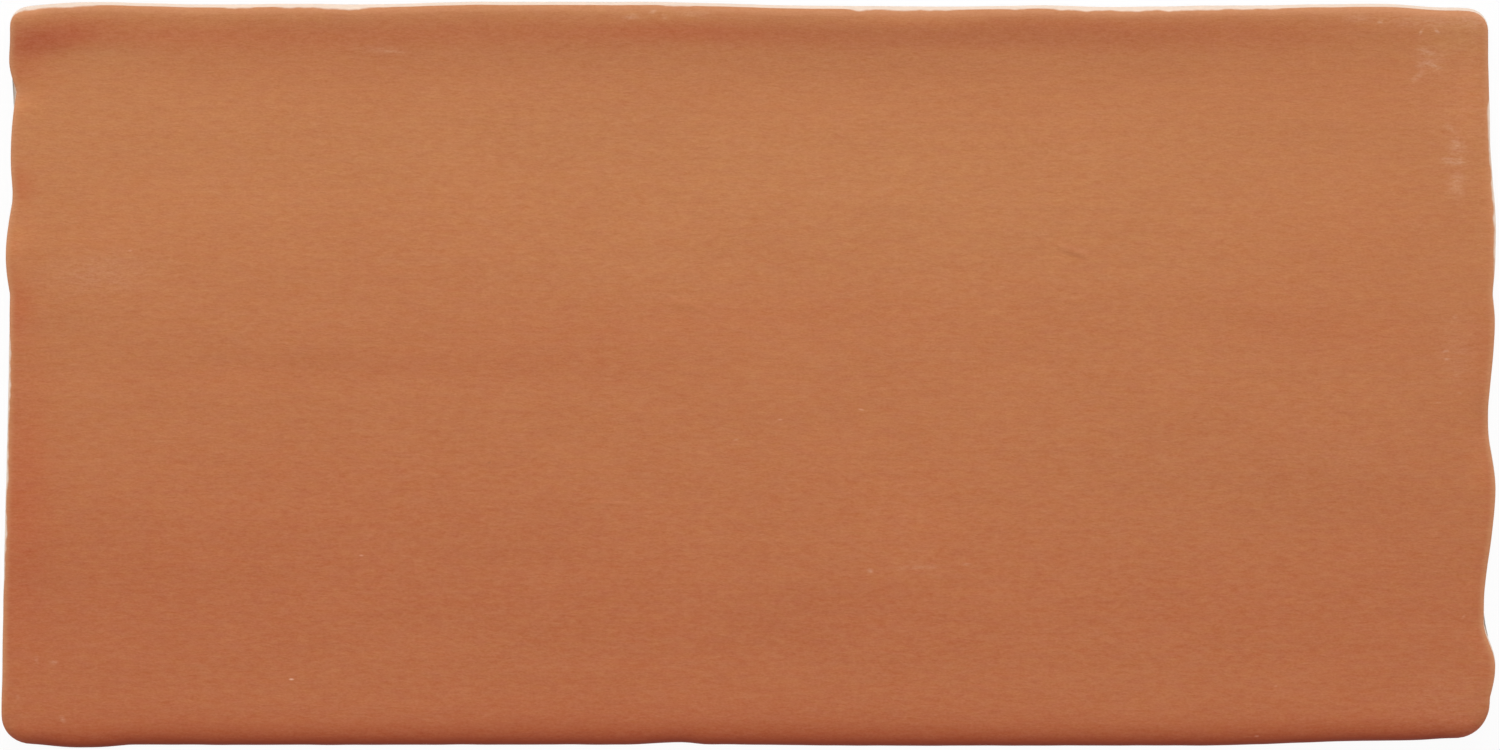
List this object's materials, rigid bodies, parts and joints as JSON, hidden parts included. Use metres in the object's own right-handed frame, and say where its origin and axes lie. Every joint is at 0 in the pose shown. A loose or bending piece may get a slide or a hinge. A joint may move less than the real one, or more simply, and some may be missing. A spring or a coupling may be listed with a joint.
{
  "type": "ceramic wall tile",
  "caption": "Flat rectangular glazed wall tile with uneven hand-finished edges, a softly pillowed face and a grooved back that keys into adhesive.",
  "frame": {"origin": "centre of the back, on the plane of the ribs that the tile lies on", "axes": "+X along the length, +Y across the width towards the side with the pale rim, +Z out of the glazed face"},
  "size_m": [0.15, 0.0748, 0.0085],
  "materials": {
    "glaze": "satin"
  },
  "bodies": {
    "root": {"tile": "glaze"}
  },
  "joints": []
}
